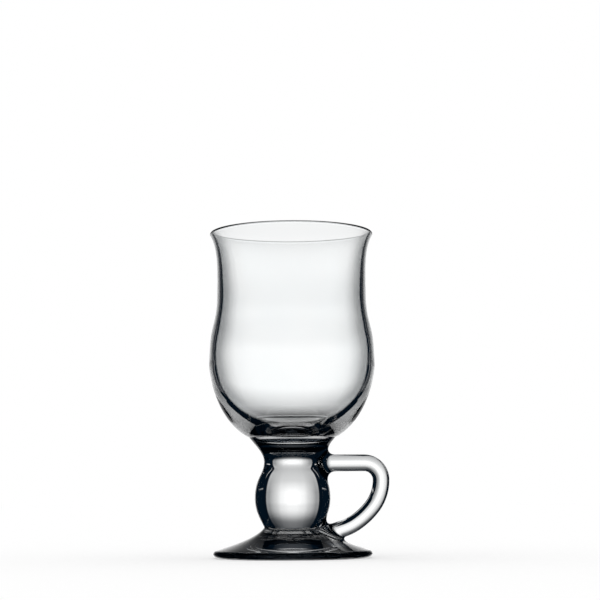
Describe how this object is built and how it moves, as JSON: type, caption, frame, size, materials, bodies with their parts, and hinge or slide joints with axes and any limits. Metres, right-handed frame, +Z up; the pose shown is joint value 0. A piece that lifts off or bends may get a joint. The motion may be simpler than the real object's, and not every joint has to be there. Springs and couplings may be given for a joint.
{
  "type": "irish coffee glass mug",
  "caption": "Footed clear glass mug for hot drinks: waisted, flared bowl on a solid knopped stem, spreading round foot and a small rod handle bridging stem and foot.",
  "frame": {"origin": "centre of the foot's standing ring, on the table and on the axis of the mug", "axes": "+Z up along the axis of the mug, +X from the axis towards the handle"},
  "size_m": [0.0827, 0.0764, 0.1503],
  "materials": {
    "bowl_glass": "clear soda-lime glass, fire-polished",
    "stem_glass": "clear soda-lime glass, fire-polished, solid",
    "foot_glass": "clear soda-lime glass, fire-polished, standing ring slightly worn",
    "handle_glass": "clear soda-lime glass rod, fire-polished"
  },
  "bodies": {
    "root": {"bowl": "bowl_glass", "stem": "stem_glass", "foot": "foot_glass", "handle": "handle_glass"}
  },
  "joints": []
}
